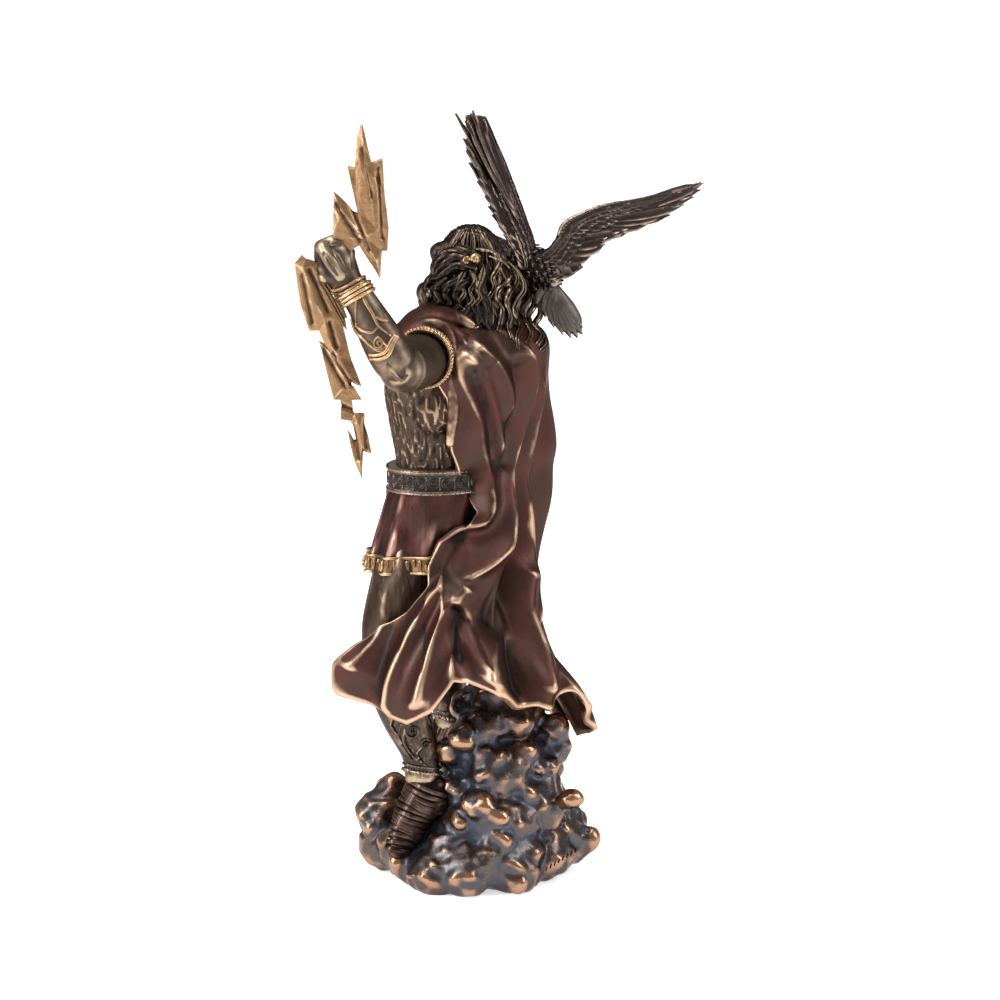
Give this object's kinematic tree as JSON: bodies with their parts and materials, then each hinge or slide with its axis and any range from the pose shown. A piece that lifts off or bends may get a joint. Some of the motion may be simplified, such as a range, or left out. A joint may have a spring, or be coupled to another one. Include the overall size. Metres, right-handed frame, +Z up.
{
  "type": "zeus statue",
  "caption": "Cast statuette of a bearded Greek god on a heap of cloud, cape flaring behind, thunderbolt in the raised hand and an eagle on the shoulder",
  "frame": {"origin": "middle of the flat underside of the cloud heap", "axes": "+Z up, the figure faces -Y, its raised left hand is at +X"},
  "size_m": [0.1629, 0.0966, 0.2885],
  "materials": {
    "figure": "cold-cast bronze, oxblood and brown patina rubbed to gold on the ridges",
    "bolt": "rubbed tan gold with brown in the grooves",
    "plumage": "dark brown cold-cast bronze with light feather edges"
  },
  "bodies": {
    "root": {"zeus_figure": "figure", "thunderbolt": "bolt", "eagle": "plumage"}
  },
  "joints": []
}
